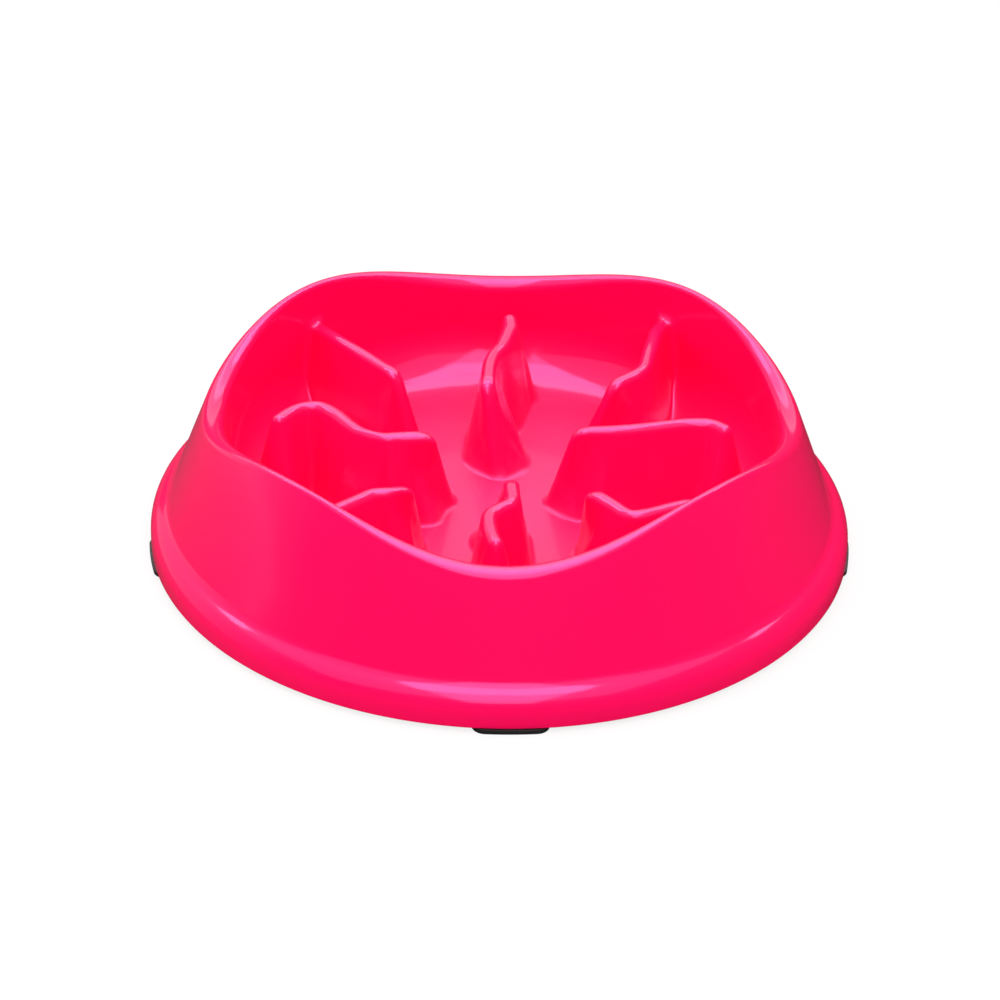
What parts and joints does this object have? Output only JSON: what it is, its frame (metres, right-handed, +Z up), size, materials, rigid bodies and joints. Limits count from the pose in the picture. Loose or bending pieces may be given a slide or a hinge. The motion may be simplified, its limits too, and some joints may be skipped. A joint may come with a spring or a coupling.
{
  "type": "slow feeder bowl",
  "caption": "Round one-piece pet feeding bowl with a wavy rim, a flared skirt on a rounded base bead, and winding upright ridges in the well, standing on small rubber feet.",
  "frame": {"origin": "middle of the ground contact, under the bowl's centre", "axes": "+Z up along the bowl's axis, -Y towards the front, where the rim dips between two of its four peaks, +X to the right"},
  "size_m": [0.2406, 0.2412, 0.0604],
  "materials": {
    "bowl_plastic": "deep glossy hot pink moulded polypropylene",
    "foot_rubber": "matt black rubber"
  },
  "bodies": {
    "root": {"bowl": "bowl_plastic", "foot_front": "foot_rubber", "foot_right": "foot_rubber", "foot_rear": "foot_rubber", "foot_left": "foot_rubber"}
  },
  "joints": []
}
